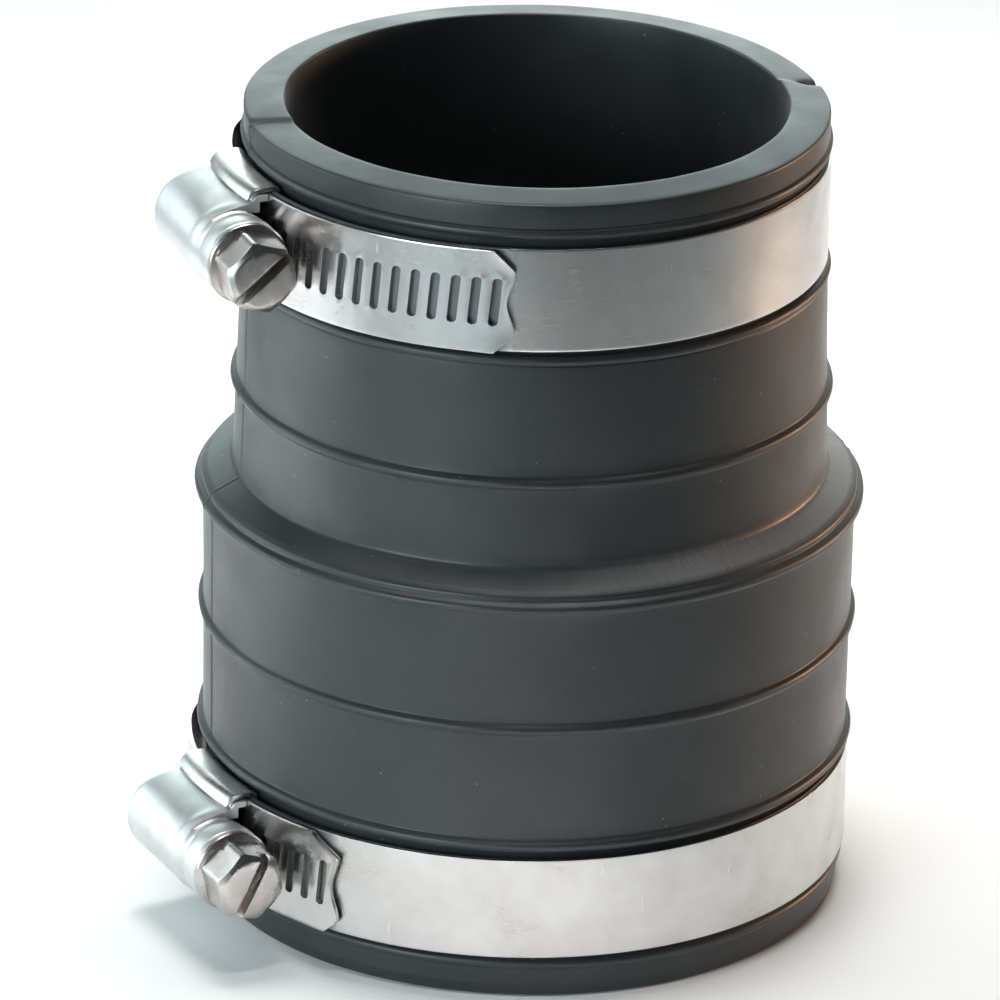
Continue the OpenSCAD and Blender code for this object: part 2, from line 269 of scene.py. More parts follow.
class Shader:
    """Short ways to build one Principled material."""

    def __init__(self, name, color, roughness, **values):
        self.material = bpy.data.materials.new(name)
        self.material.use_nodes = True
        self.tree = self.material.node_tree
        self.bsdf = self.tree.nodes["Principled BSDF"]
        self.set("Base Color", color)
        self.set("Roughness", roughness)
        for key, value in values.items():
            self.set(key.replace("_", " "), value)

    def feed(self, socket, value):
        """Gives a socket a number, a vector, a colour or another node's output."""
        if isinstance(value, bpy.types.NodeSocket):
            self.tree.links.new(value, socket)
        elif socket.type == "RGBA":
            socket.default_value = (*value, 1)
        else:
            socket.default_value = value

    def set(self, name, value):
        self.feed(self.bsdf.inputs[name], value)

    def node(self, kind, inputs=(), **settings):
        """A node with its settings, and its inputs by name or number."""
        made = self.tree.nodes.new(kind)
        for key, value in settings.items():
            setattr(made, key, value)
        for key, value in dict(inputs).items():
            self.feed(made.inputs[key], value)
        return made

    def place(self, scale=(1, 1, 1), turn=(0, 0, 0)):
        """Object coordinates in millimetres, stretched by scale."""
        where = self.node("ShaderNodeTexCoord").outputs["Object"]
        inputs = {"Vector": where, "Scale": [s / MM for s in scale], "Rotation": turn}
        return self.node("ShaderNodeMapping", inputs).outputs["Vector"]

    def along(self, scale):
        """The strip's own coordinates in millimetres, stretched by scale: along, across, height."""
        where = self.node("ShaderNodeAttribute", attribute_name="strip").outputs["Vector"]
        return self.node("ShaderNodeMapping", {"Vector": where, "Scale": scale}).outputs["Vector"]

    def split(self):
        """X, Y and Z of the place in millimetres."""
        return self.node("ShaderNodeSeparateXYZ", {"Vector": self.place()}).outputs

    def turn(self):
        """Angle round the sleeve's axis from +X towards +Y, in radians."""
        parts = self.split()
        return self.math("ARCTAN2", parts["Y"], parts["X"])

    def radial_lines(self, width):
        """Noise in fine lines that run outwards from the sleeve's axis."""
        around = self.times(self.turn(), SLEEVE_HIGH[0] / width)
        up = self.times(self.split()["Z"], LINE_STRETCH)
        lines = self.node("ShaderNodeCombineXYZ", {"X": around, "Y": up})
        return self.noise(lines.outputs["Vector"], 1.0, detail=2.0, rough=0.7)

    def noise(self, vector, scale, detail=2.0, rough=0.5, distortion=0.0):
        inputs = {"Vector": vector, "Scale": scale, "Detail": detail, "Roughness": rough,
                  "Distortion": distortion}
        return self.node("ShaderNodeTexNoise", inputs).outputs["Fac"]

    def specks(self, vector, scale, size):
        """Small round dots, 1 inside each dot and 0 outside."""
        cells = self.node("ShaderNodeTexVoronoi", {"Vector": vector, "Scale": scale})
        return self.remap(cells.outputs["Distance"], size, size * DOT_EDGE)

    def dashes(self, scale, stretch, turn, size, amount):
        """Short straight scratches that all run one way, left out at random."""
        place = self.place((1, 1, stretch), turn)
        clumps = self.noise(place, scale * 0.4, detail=1.0)
        gate = self.remap(clumps, 1 - amount, 1 - amount + GATE_EDGE)
        return self.times(self.specks(place, scale, size), gate)

    def scratches(self, scale, stretch, size, amount, turns):
        """Several sets of dashes, each with its own direction."""
        total = self.dashes(scale, stretch, turns[0], size, amount)
        for turn in turns[1:]:
            total = self.math("MAXIMUM", total, self.dashes(scale, stretch, turn, size, amount))
        return total

    def remap(self, value, low, high, to_low=0, to_high=1):
        """Turns the range low to high into to_low to to_high, and keeps within it."""
        inputs = {"Value": value, "From Min": low, "From Max": high, "To Min": to_low, "To Max": to_high}
        return self.node("ShaderNodeMapRange", inputs, clamp=True).outputs["Result"]

    def math(self, operation, *values):
        return self.node("ShaderNodeMath", enumerate(values), operation=operation).outputs["Value"]

    def times(self, a, b):
        return self.math("MULTIPLY", a, b)

    def mix(self, factor, a, b):
        """Colour a where factor is 0, b where it is 1. Each is a colour or a socket."""
        inputs = {"Factor": factor, MIX_A: a, MIX_B: b}
        return self.node("ShaderNodeMix", inputs, data_type="RGBA").outputs[MIX_RESULT]

    def bump(self, height, strength, distance, below=None):
        """Adds one bump layer, distance in millimetres, over the layer below it."""
        inputs = {"Height": height, "Strength": strength, "Distance": distance * MM}
        if below is not None:
            inputs["Normal"] = below
        normal = self.node("ShaderNodeBump", inputs).outputs["Normal"]
        self.set("Normal", normal)
        return normal


SCRATCH_TURNS = ((0.15, 0.1, 0.0), (0.9, 0.2, 0.5), (1.4, -0.4, 1.0))
LEDGE_Z, ROOT_Z = 52.2, 54.3  # the ledge's outer edge, and its inner edge at the upper body

RUBBER_DARK, RUBBER_PALE = (0.0155, 0.0200, 0.0212), (0.0250, 0.0305, 0.0325)
RUBBER_ROUGH = (0.34, 0.47)
MARK_COLOR = (0.32, 0.33, 0.33)
SCUFF_SHARE, DUST_SHARE, LINT_SHARE = 0.16, 0.6, 0.34
# painted sheen: a lighter grey on the ledge, strongest on the side where the light falls
LEDGE_SHEEN_COLOR = (0.165, 0.163, 0.165)
LEDGE_SHEEN_TURN = 20  # degrees from +X towards -Y, where the painted sheen is strongest
LEDGE_SHEEN_SHARE = (0.05, 1.0)  # far from that direction, and near it


def painted_sheen_on_ledge(s):
    """Painted sheen on the ledge, grey and radially brushed and strongest on the side where the light
    falls, 0 where there is none.
    """
    height = s.split()["Z"]
    over_edge = s.remap(height, LEDGE_Z + 0.1, LEDGE_Z + 0.7)
    under_root = s.remap(height, ROOT_Z - 0.1, ROOT_Z + 0.9, 1, 0)
    ledge = s.times(over_edge, under_root)
    lines = s.remap(s.radial_lines(0.35), 0.3, 0.7, 0.55, 1.0)
    near = s.math("COSINE", s.math("ADD", s.turn(), math.radians(LEDGE_SHEEN_TURN)))
    side = s.remap(near, 0.45, 0.8, *LEDGE_SHEEN_SHARE)
    return s.times(s.times(ledge, lines), side)


def rubber_material():
    """Dark satin elastomer, a little uneven, with dust, handling marks, fine scratches and painted sheen
    on the ledge.
    """
    s = Shader("sleeve_rubber", RUBBER_DARK, RUBBER_ROUGH[1], Specular_IOR_Level=0.5,
               Sheen_Weight=0.2, Sheen_Roughness=0.3)
    place = s.place()
    cloud = s.noise(place, 0.06, detail=3.0, rough=0.55)
    base = s.mix(s.remap(cloud, 0.35, 0.7), RUBBER_DARK, RUBBER_PALE)
    # painted sheen on the ledge
    base = s.mix(painted_sheen_on_ledge(s), base, LEDGE_SHEEN_COLOR)

    scuffs = s.scratches(0.8, 0.25, 0.05, 0.38, SCRATCH_TURNS)
    dusty = s.remap(s.noise(place, 0.05, detail=1.0), 0.42, 0.5)
    dust = s.times(s.specks(place, 0.42, 0.055), dusty)
    lint = s.specks(s.place((1, 1, 0.7), (0.5, 0.3, 0.2)), 0.75, 0.05)
    marks = s.times(scuffs, SCUFF_SHARE)
    marks = s.math("MAXIMUM", marks, s.times(dust, DUST_SHARE))
    marks = s.math("MAXIMUM", marks, s.times(lint, LINT_SHARE))
    s.set("Base Color", s.mix(marks, base, MARK_COLOR))

    grain = s.noise(place, 4.5, detail=3.0, rough=0.6)
    rough = s.remap(s.noise(place, 0.11, detail=4.0, rough=0.65), 0.3, 0.7, *RUBBER_ROUGH)
    s.set("Roughness", s.math("ADD", rough, s.times(grain, 0.06)))
    low = s.bump(s.noise(place, 0.55, detail=3.0, rough=0.6), strength=0.35, distance=0.05)
    s.bump(grain, strength=0.3, distance=0.02, below=low)
    return s.material


# painted shade: the band's inner layer is darker where the tail lies over it, standing in for the shade
# inside the slots
LAP_SHADE_COLOR = (0.17, 0.175, 0.18)
COVERED_ROUGH = 0.3  # added to the roughness under another layer
LINE_ROUGH, NICK_ROUGH = 0.12, 0.12
NICK_SHARE = 0.5


def steel_material(name, color, warm, rough, scratched, nick_color, brushed=0.3, streak=None):
    """Stainless sheet with fine lines, smudges and scratches, with painted shade and more roughness
    where another layer lies over it.
    """
    s = Shader(name, color, rough[0], Metallic=1.0, Anisotropic=0.35)
    place = s.place()
    lines = s.noise(s.along(streak) if streak else place, 1.0, detail=3.0, rough=0.65)
    smudge = s.noise(place, 0.16, detail=4.0, rough=0.6, distortion=0.4)
    nicks = s.scratches(1.1, 0.08, 0.10, scratched, SCRATCH_TURNS)
    # mask of the painted shade under the tail
    covered = s.node("ShaderNodeAttribute", attribute_name="covered").outputs["Fac"]

    tone = s.mix(s.remap(smudge, 0.35, 0.72), color, warm)
    tone = s.mix(s.times(nicks, NICK_SHARE), tone, nick_color)
    s.set("Base Color", s.mix(covered, tone, LAP_SHADE_COLOR))

    worn = s.remap(smudge, 0.3, 0.75, *rough)
    worn = s.math("ADD", worn, s.times(covered, COVERED_ROUGH))
    worn = s.math("ADD", worn, s.times(s.math("SUBTRACT", lines, 0.5), LINE_ROUGH))
    s.set("Roughness", s.math("ADD", worn, s.times(nicks, NICK_ROUGH)))

    low = s.bump(lines, strength=brushed, distance=0.012)
    low = s.bump(s.noise(place, 0.7), strength=0.25, distance=0.03, below=low)
    s.bump(nicks, strength=0.5, distance=0.02, below=low)
    return s.material


BRIGHT_NICK = (0.95, 0.95, 0.94)
DARK_NICK = (0.30, 0.28, 0.26)
RUBBER = rubber_material()
BAND = steel_material(
    "band_steel", color=(0.62, 0.615, 0.61), warm=(0.54, 0.52, 0.50), rough=(0.18, 0.30),
    scratched=0.36, nick_color=BRIGHT_NICK, brushed=0.35, streak=(0.06, 9.0, 1.0))
HOUSING = steel_material(
    "housing_steel", color=(0.70, 0.715, 0.72), warm=(0.60, 0.61, 0.61), rough=(0.38, 0.50),
    scratched=0.5, nick_color=DARK_NICK)
SADDLE = steel_material(
    "saddle_steel", color=(0.70, 0.70, 0.69), warm=(0.60, 0.57, 0.54), rough=(0.24, 0.38),
    scratched=0.42, nick_color=BRIGHT_NICK)
SCREW = steel_material(
    "screw_steel", color=(0.56, 0.55, 0.54), warm=(0.40, 0.35, 0.31), rough=(0.22, 0.40),
    scratched=0.55, nick_color=DARK_NICK)


# ---- sleeve

# Wall of the sleeve outside its own bore, from the rim down to the foot.
RIM_WALL = 4.9
UPPER_SEAT_WALL = 4.4  # under the upper band
UPPER_WALL = 5.1  # just below the upper band
ROOT_WALL = 5.9  # at the ledge's inner edge
LOWER_WALL = 4.65  # just below the ledge
LOW_WALL = 4.45  # just over the lower band
LOWER_SEAT_WALL = 4.1  # under the lower band
FOOT_WALL = 4.15

UPPER_BEAD_Z, LOWER_BEAD_Z = 64.9, 35.1  # the single beads halfway up each body
BEAD_ARC = 72  # degrees of a bead's round above and below its middle
BEAD_FOOT = 0.75  # from a bead's middle to where the wall goes on
BODY_BEAD_FOOT = 0.8  # the same for the beads on the bodies
LEDGE_BEAD = 1.4  # the ledge's bead, below the ledge
LEDGE_BEAD_OUT = 0.2  # how far the ledge's bead stands out from the wall
FOOT_CHAMFER = 0.35
RIM_FALL = 0.5  # how much lower the rim's outer edge is than its inner edge
STEP_TOP, STEP_FOOT = 0.5, 4.5  # the step between the bores, below the ledge
FILLET, SOFT_FILLET = 0.2, 0.25


def bead_points(r, z, steps=7):
    """Corners of a half-round bead whose centre is at (r, z), walked upwards."""
    angles = np.radians(np.linspace(-BEAD_ARC, BEAD_ARC, steps))
    return [(r + BEAD_R * math.cos(a), z + BEAD_R * math.sin(a), 0) for a in angles]


def line_points(r0, z0, r1, z1, step=1.6):
    """Points inside a straight stretch, so that its surface can carry slight unevenness."""
    n = max(1, int(math.hypot(r1 - r0, z1 - z0) / step))
    return [(r0 + (r1 - r0) * k / n, z0 + (z1 - z0) * k / n, 0) for k in range(1, n)]


def wall(start, end, step=1.6):
    """A straight wall: its first corner (radius, height, fillet) and points on the way to end."""
    return [start] + line_points(*start[:2], *end[:2], step)


def band_seat(clamp, below_r, seat_r, above_r):
    """The bead below a band, the seat under it and the bead over it, from their radii."""
    low, high = clamp.band_z, clamp.band_z + clamp.band_w
    path = bead_points(below_r, low - BEAD_STEP)
    path += [(seat_r, low - BEAD_STEP + BEAD_FOOT, FILLET)]
    path += line_points(seat_r, low, seat_r, high)
    path += [(seat_r, high + BEAD_STEP - BEAD_FOOT, FILLET)]
    return path + bead_points(above_r, high + BEAD_STEP)


def sleeve_outline(upper, lower):
    """The sleeve's section as a closed path of (radius, height), up the outside and down the bore."""
    rim_r, upper_r, root_r = (UPPER_BORE + wide for wide in (RIM_WALL, UPPER_WALL, ROOT_WALL))
    lower_r, low_r, foot_r = (LOWER_BORE + wide for wide in (LOWER_WALL, LOW_WALL, FOOT_WALL))
    ledge_r = SLEEVE_HIGH[0] - BEAD_R - LEDGE_BEAD_OUT
    u1 = upper.band_z + upper.band_w
    l1 = lower.band_z + lower.band_w

    # the foot, up to the bead over the lower band
    path = [(foot_r - FOOT_CHAMFER, 0, 0.25), (foot_r, 1.5, 1.0)]
    path += [(foot_r, lower.band_z - BEAD_STEP - BEAD_FOOT, FILLET)]
    path += band_seat(lower, foot_r - 0.1, LOWER_BORE + LOWER_SEAT_WALL, low_r + 0.1)

    # the lower body, up to the ledge
    low_start = (low_r, l1 + BEAD_STEP + BEAD_FOOT, SOFT_FILLET)
    low_end = (low_r + 0.1, LOWER_BEAD_Z - BODY_BEAD_FOOT, SOFT_FILLET)
    path += wall(low_start, low_end) + [low_end]
    path += bead_points((low_r + lower_r) / 2, LOWER_BEAD_Z)
    high_start = (lower_r - 0.08, LOWER_BEAD_Z + BODY_BEAD_FOOT, SOFT_FILLET)
    high_end = (lower_r, LEDGE_Z - 2.3, 0.3)
    path += wall(high_start, high_end) + [high_end]
    path += bead_points(ledge_r + LEDGE_BEAD_OUT, LEDGE_Z - LEDGE_BEAD)
    path += [(ledge_r, LEDGE_Z - 0.55, FILLET), (ledge_r, LEDGE_Z + 0.05, 0.5)]

    # the ledge and the upper body
    ledge_start, root = (ledge_r - 0.75, LEDGE_Z + 0.6, 0.6), (root_r, ROOT_Z, 0.7)
    path += wall(ledge_start, root, 0.7)
    root_end = (root_r - 0.3, UPPER_BEAD_Z - BODY_BEAD_FOOT, SOFT_FILLET)
    path += wall(root, root_end) + [root_end]
    path += bead_points((upper_r + root_r) / 2 + 0.1, UPPER_BEAD_Z)
    upper_start = (root_r - 0.4, UPPER_BEAD_Z + BODY_BEAD_FOOT, SOFT_FILLET)
    upper_end = (upper_r, upper.band_z - BEAD_STEP - BODY_BEAD_FOOT, FILLET)
    path += wall(upper_start, upper_end) + [upper_end]

    # the upper band's seat and the rim
    path += band_seat(upper, upper_r - 0.3, UPPER_BORE + UPPER_SEAT_WALL, rim_r - 0.3)
    path += [(rim_r, u1 + BEAD_STEP + BEAD_FOOT, 0.3), (rim_r, (u1 + SLEEVE_H) / 2 + 1.0, 0)]
    rim_in = (UPPER_BORE, SLEEVE_H, 0.25)
    path += wall((rim_r, SLEEVE_H - RIM_FALL, 0.35), rim_in, 0.8)

    # down the two bores and out along the foot
    step_top = (UPPER_BORE, LEDGE_Z - STEP_TOP, 0.8)
    step_foot = (LOWER_BORE, LEDGE_Z - STEP_FOOT, 0.8)
    foot_in = (LOWER_BORE, 0, 0.3)
    path += wall(rim_in, step_top, 3) + [step_top]
    path += wall(step_foot, foot_in, 3)
    path += wall(foot_in, path[0], 1.2)
    return rounded(path, 4)


CLOSE_STEPS = np.array([0.15, 0.3, 0.45, 0.65, 0.9, 1.2, 1.6, 2.2, 3])  # degrees from a parting line
CLEAR_OF_LINE = 3.5


def sleeve_angles():
    """Even steps round the sleeve, with closer ones beside each parting line."""
    close = np.concatenate([-CLOSE_STEPS[::-1], [0], CLOSE_STEPS])
    even = np.arange(-180, 180, 1.5)
    for line in PARTING:
        even = even[np.abs(even - line) > CLEAR_OF_LINE]
    return np.sort(np.concatenate([even] + [line + close for line in PARTING]))


WAVES = ((0.05, 3, 0.05), (0.035, 7, -0.11), (0.02, 17, 0.31))  # size, waves round, turn for each mm up
WAVE_UNDER_BAND = 0.25  # share of the waves left under a band
UNDERSIZE = 0.02  # keeps the highest waves inside the CAD sleeve
RIDGE_H, RIDGE_W = 0.11, 0.13  # flash along a parting line
GROOVE_D, GROOVE_AT, GROOVE_W = 0.07, 0.42, 0.2
RIM_STEP, RIM_STEP_W = 0.28, 9  # where one mould half stands lower than the other
RIM_NOTCH = (0.0, 0.75)  # depth of the rim's notch at each parting line
RIM_TAB = (0.22, -0.3)  # how far the rim stands out, or in, at each parting line
NOTCH_W, TAB_W = 0.85, 0.7
RIM_DEPTH, RIM_FADE = 3.2, 2.0  # how far down the rim's marks begin, and over what height they grow
RIM_STEP_RUN, RIM_STEP_LEAN = 1.6, 0.25  # the width of the rim's step, and its lean across the wall
OUTER_FROM, OUTER_FADE = 2.0, 1.5  # from the bore, where the outside's marks begin
SEAT_MARGIN, SEAT_FADE = 1.2, 0.8  # how far past a band's edges its seat is smooth


def under_band(clamp, z):
    """1 where the sleeve lies under the clamp's band, 0 away from it."""
    over_foot = z - clamp.band_z + SEAT_MARGIN
    under_top = clamp.band_z + clamp.band_w + SEAT_MARGIN - z
    return smoothstep(over_foot / SEAT_FADE) * smoothstep(under_top / SEAT_FADE)


def make_sleeve(upper, lower):
    outline = sleeve_outline(upper, lower)
    r, z = outline[:, 0][None, :], outline[:, 1][None, :]
    a = sleeve_angles()[:, None]
    bore = np.where(z > (LEDGE_Z - STEP_TOP + LEDGE_Z - STEP_FOOT) / 2, UPPER_BORE, LOWER_BORE)
    outside = smoothstep((r - bore - OUTER_FROM) / OUTER_FADE)
    free = 1 - np.clip(under_band(upper, z) + under_band(lower, z), 0, 1)
    top = smoothstep((z - SLEEVE_H + RIM_DEPTH) / RIM_FADE)
    wave = sum(size * np.sin(np.radians(count * a) + z * turn) for size, count, turn in WAVES)
    dr = wave * (WAVE_UNDER_BAND + (1 - WAVE_UNDER_BAND) * free) - UNDERSIZE
    dz = np.zeros_like(r + a)
    for line, notch, tab in zip(PARTING, RIM_NOTCH, RIM_TAB):
        off = np.radians(a - line) * r
        ridge = RIDGE_H * hump(off, RIDGE_W) - GROOVE_D * hump(off - GROOVE_AT, GROOVE_W)
        dr = dr + ridge * outside * free + tab * top * outside * hump(off, TAB_W)
        side = smoothstep(off / RIM_STEP_RUN + 0.5 + (r - bore - 2.4) * RIM_STEP_LEAN)
        step = RIM_STEP * side * hump(off, RIM_STEP_W)
        dz = dz - (step + notch * outside * hump(off, NOTCH_W)) * top
    height = np.minimum(z + dz, SLEEVE_H)
    rings = list(round_at(r + dr, a, height))
    points, faces = loft(rings + rings[:1], False, False)
    piece = new_object("moulded_sleeve", points, faces)
    finish_piece(piece, RUBBER, "sleeve", "sleeve", 60)


# ---- band

SLOT_W, SLOT_L, SLOT_ROUND = 1.15, 6.0, 0.45
SLOT_POINTS = (-1, -0.75, 0, 0.75, 1)  # columns of one slot, as shares of its half width
RAMP = (323, 333)  # degrees between which the strip climbs over its own start
BAND_START = -6
FIRST_SLOT = -6  # slots are counted from the one under the screw
END_MARGIN = 2.35  # from the last slot's middle to the tail's end
NOTCH_DEPTH = 1.0  # of the shallow notch between the end's two lobes
END_SHARES = (0.0, 0.35, 0.65, 0.85, 1.0)  # columns between the last slot and the end
LIP = 0.05  # height of the lip round a slot
COLUMN_STEP = 2.0  # degrees
EASE_IN = 12  # degrees over which the columns take up the slots' lean
LAP_SHADE_FADE = 3.5  # degrees over which the painted shade on the layer under the tail fades out, towards the tail's end
END_LIFT = 0.32  # how far the tail's end springs up, over its last few millimetres
END_LIFT_L = 7.0
SQUEEZE_L, SQUEEZE_MORE = 1.65, 5.0  # how far back the end's outline reaches
ROWS_BELOW_SLOT = [0, 0.3, 0.8, 1.4, 2.0, 2.6]  # heights over the band's lower edge
ROWS_BESIDE_SLOT = [4.5, 5.1, 5.7]


def band_end_offset(clamp, v):
    """How far the tail's end stands back at height v: clipped corners, two lobes and a notch."""
    top_l, top_h, low_l, low_h = clamp.end_shape
    w = clamp.band_w
    clip_low = low_l * np.clip(1 - v / low_h, 0, 1)
    clip_top = top_l * np.clip(1 - (w - v) / top_h, 0, 1)
    middle = (low_h + w - top_h) / 2
    notch = NOTCH_DEPTH * np.cos(np.pi * np.clip((v - middle) / (w - low_h - top_h), -0.5, 0.5)) ** 2
    return clip_low + clip_top + notch


def end_squeeze(clamp, back, v):
    """Moves a point that lies back from the band's square end, so that the end takes its outline."""
    offset = band_end_offset(clamp, v)
    beside = np.abs(v - clamp.band_w / 2) - SLOT_L / 2
    reach = SQUEEZE_L + SQUEEZE_MORE * smoothstep((beside - 0.1) / 0.9)
    return np.where(back < reach, offset + back * (reach - offset) / reach, back)


def band_columns(clamp):
    """The band's columns: each one's angle, share of the slots' lean and place inside a slot."""
    end = 360 + clamp.tail_slots * clamp.slot_step + math.degrees(END_MARGIN / clamp.tail_r)
    first = 360 + (FIRST_SLOT - 0.5) * clamp.slot_step
    last = 360 + (clamp.tail_slots + 0.5) * clamp.slot_step
    columns = []
    for a in np.linspace(BAND_START, first, int((first - BAND_START) / COLUMN_STEP)):
        columns.append((a, smoothstep((a - first + EASE_IN) / EASE_IN), None))
    for i in range(FIRST_SLOT, clamp.tail_slots + 1):
        middle = 360 + i * clamp.slot_step
        for share in SLOT_POINTS:
            x = share * SLOT_W / 2
            columns.append((middle + math.degrees(x / clamp.tail_r), 1, x))
        if i < clamp.tail_slots:
            columns.append((middle + clamp.slot_step / 2, 1, None))
    for share in END_SHARES:
        columns.append((last + (end - last) * share, 1 - share, None))
    return columns, end


def band_rows(clamp):
    """Heights of the band's rows, and which of them are the slots' lower and upper ends."""
    middle = clamp.band_w / 2
    low = middle - SLOT_L / 2
    rows = ROWS_BELOW_SLOT + [low, low + SLOT_ROUND] + ROWS_BESIDE_SLOT + [middle]
    rows += [clamp.band_w - v for v in rows[-2::-1]]
    slot_low = len(ROWS_BELOW_SLOT)
    return np.array(rows), slot_low, len(rows) - 1 - slot_low


def at_slot_side(x):
    return x is not None and math.isclose(abs(x), SLOT_W / 2, abs_tol=1e-6)


def band_cells(columns, row_count, slot_low, slot_high):
    """The strip's cells as loops of (column, row): none inside a slot, triangles at its rounded ends."""
    cells = []
    for c in range(len(columns) - 1):
        in_slot = columns[c][2] is not None and columns[c + 1][2] is not None
        for k in range(row_count - 1):
            if not (in_slot and slot_low <= k < slot_high):
                cells.append([(c, k), (c + 1, k), (c + 1, k + 1), (c, k + 1)])
    for c, (_, _, x) in enumerate(columns):
        if at_slot_side(x):
            inner_c = c + 1 if x < 0 else c - 1
            cells.append([(c, slot_low), (inner_c, slot_low), (c, slot_low + 1)])
            cells.append([(c, slot_high), (c, slot_high - 1), (inner_c, slot_high)])
    return cells


def thick_faces(cells, column_count, row_count):
    """Outer, inner and edge faces of a strip whose points are numbered by layer, column and row."""
    def index(layer, c, k):
        return (layer * column_count + c) * row_count + k

    faces = []
    edges = {}
    for corners in cells:
        faces.append([index(1, *q) for q in corners])
        faces.append([index(0, *q) for q in corners[::-1]])
        for i, q in enumerate(corners):
            pair = frozenset((q, corners[(i + 1) % len(corners)]))
            edges[pair] = edges.get(pair, 0) + 1
    for pair, count in edges.items():
        if count == 1:
            p, q = pair
            faces.append([index(0, *p), index(0, *q), index(1, *q), index(1, *p)])
    return faces


def make_band(clamp):
    columns, end = band_columns(clamp)
    rows, slot_low, slot_high = band_rows(clamp)
    lean = WORM_PITCH / (2 * math.pi * THREAD_R)
    n, m = len(columns), len(rows)
    points, strip = np.zeros((2, n, m, 3)), np.zeros((2, n, m, 3))
    covered = np.zeros((2, n, m))
    for c, (angle, weight, x) in enumerate(columns):
        v = rows.copy()
        if x is not None and not at_slot_side(x):
            curve = SLOT_ROUND * (1 - math.sqrt(1 - (2 * x / SLOT_W) ** 2))
            v[slot_low] += curve
            v[slot_high] -= curve
        back = math.radians(end - angle) * clamp.tail_r
        shift = weight * lean * (v - clamp.band_w / 2) + back - end_squeeze(clamp, back, v)
        a = angle + np.degrees(shift / clamp.tail_r)
        ramp = (angle - RAMP[0]) / (RAMP[1] - RAMP[0])
        inner = clamp.loop_r + (BAND_T + LAP_GAP) * smoothstep(ramp)
        inner = inner + END_LIFT * np.clip(1 - back / END_LIFT_L, 0, 1) ** 2
        # painted shade on the band where the tail lies over it, fading out near the tail's end
        covered[:, c] = smoothstep((end - 360 - angle) / LAP_SHADE_FADE)
        on_lip = np.zeros(m)
        if at_slot_side(x):
            on_lip[slot_low + 1:slot_high] = LIP
        elif x is not None:
            on_lip[[slot_low, slot_high]] = LIP
        for layer, radius in enumerate((inner + 0 * v, inner + BAND_T + on_lip)):
            points[layer, c] = round_at(radius, a, v)
            along = np.radians(a) * clamp.tail_r
            strip[layer, c] = np.stack([along, v, np.full(m, layer * BAND_T)], axis=-1)
    faces = thick_faces(band_cells(columns, m, slot_low, slot_high), n, m)
    used = sorted({i for face in faces for i in face})
    renumber = {old: new for new, old in enumerate(used)}
    faces = [[renumber[i] for i in face] for face in faces]
    piece = new_object(clamp.size + "_slotted_band", clamp.place(points.reshape(-1, 3)[used]), faces)
    attribute = piece.data.attributes.new("strip", "FLOAT_VECTOR", "POINT")
    attribute.data.foreach_set("vector", strip.reshape(-1, 3)[used].astype(np.float32).ravel())
    attribute = piece.data.attributes.new("covered", "FLOAT", "POINT")
    attribute.data.foreach_set("value", covered.ravel()[used].astype(np.float32))
    soften(piece, 0.11, 50)
    finish_piece(piece, BAND, clamp.size + "_band", clamp.size + "_band", 50)


# ---- saddle

SADDLE_SPAN = (-8.3, 6.3)
SADDLE_STEPS = 26
PLATE_GAP = 0.05  # between the plate and the band over it
HEM_START = 0.7
HEM_BEND_R = 1.25
HEM_BEND = 75
HEM_STEPS = 8
HEM_PLAY = 0.02  # between a hem and the flange inside it
HEM_TRIM = (0.9, 0.35)  # how much shorter the hem is than the plate at each end
TRIM_POWER = 7


def hem_point(clamp, radius, share):
    """A point of a rolled hem's section, as radius and height over the band's middle."""
    a = math.radians(HEM_BEND * share)
    side = clamp.band_w / 2 + EDGE_GAP
    return clamp.tail_r + HEM_START + radius * math.sin(a), side - HEM_BEND_R + radius * math.cos(a)


def make_saddle(clamp):
    plate_r = clamp.loop_r - PLATE_GAP - SADDLE_T
    edge_r = clamp.tail_r + RUN_GAP + SHEET_T
    side = clamp.band_w / 2 + EDGE_GAP
    shares = [k / HEM_STEPS for k in range(HEM_STEPS + 1)]
    half = [(plate_r, side + SADDLE_T, 1.0)]
    half += [(*hem_point(clamp, HEM_BEND_R + SADDLE_T, share), 0) for share in shares]
    half += [(*hem_point(clamp, HEM_BEND_R + HEM_PLAY, share), 0) for share in shares[::-1]]
    half += [(plate_r + SADDLE_T, side, 0.4)]
    outline = rounded(half + [(r, -v, radius) for r, v, radius in half[::-1]])
    start, end = (math.degrees(x / edge_r) for x in SADDLE_SPAN)
    trim_start, trim_end = (math.degrees(x / edge_r) for x in HEM_TRIM)
    hem = smoothstep((outline[:, 0] - edge_r) / 1.6)
    rings = []
    for i in range(SADDLE_STEPS + 1):
        t = i / SADDLE_STEPS
        trim = hem * (trim_start * (1 - t) ** TRIM_POWER - trim_end * t ** TRIM_POWER)
        a = start + (end - start) * t + trim
        rings.append(clamp.place(round_at(outline[:, 0], a, outline[:, 1] + clamp.band_w / 2)))
    piece = new_object(clamp.size + "_hemmed_saddle", *loft(rings))
    soften(piece, 0.12, 50)
    finish_piece(piece, SADDLE, clamp.size + "_clamp", clamp.size + "_saddle", 40)


# ---- housing

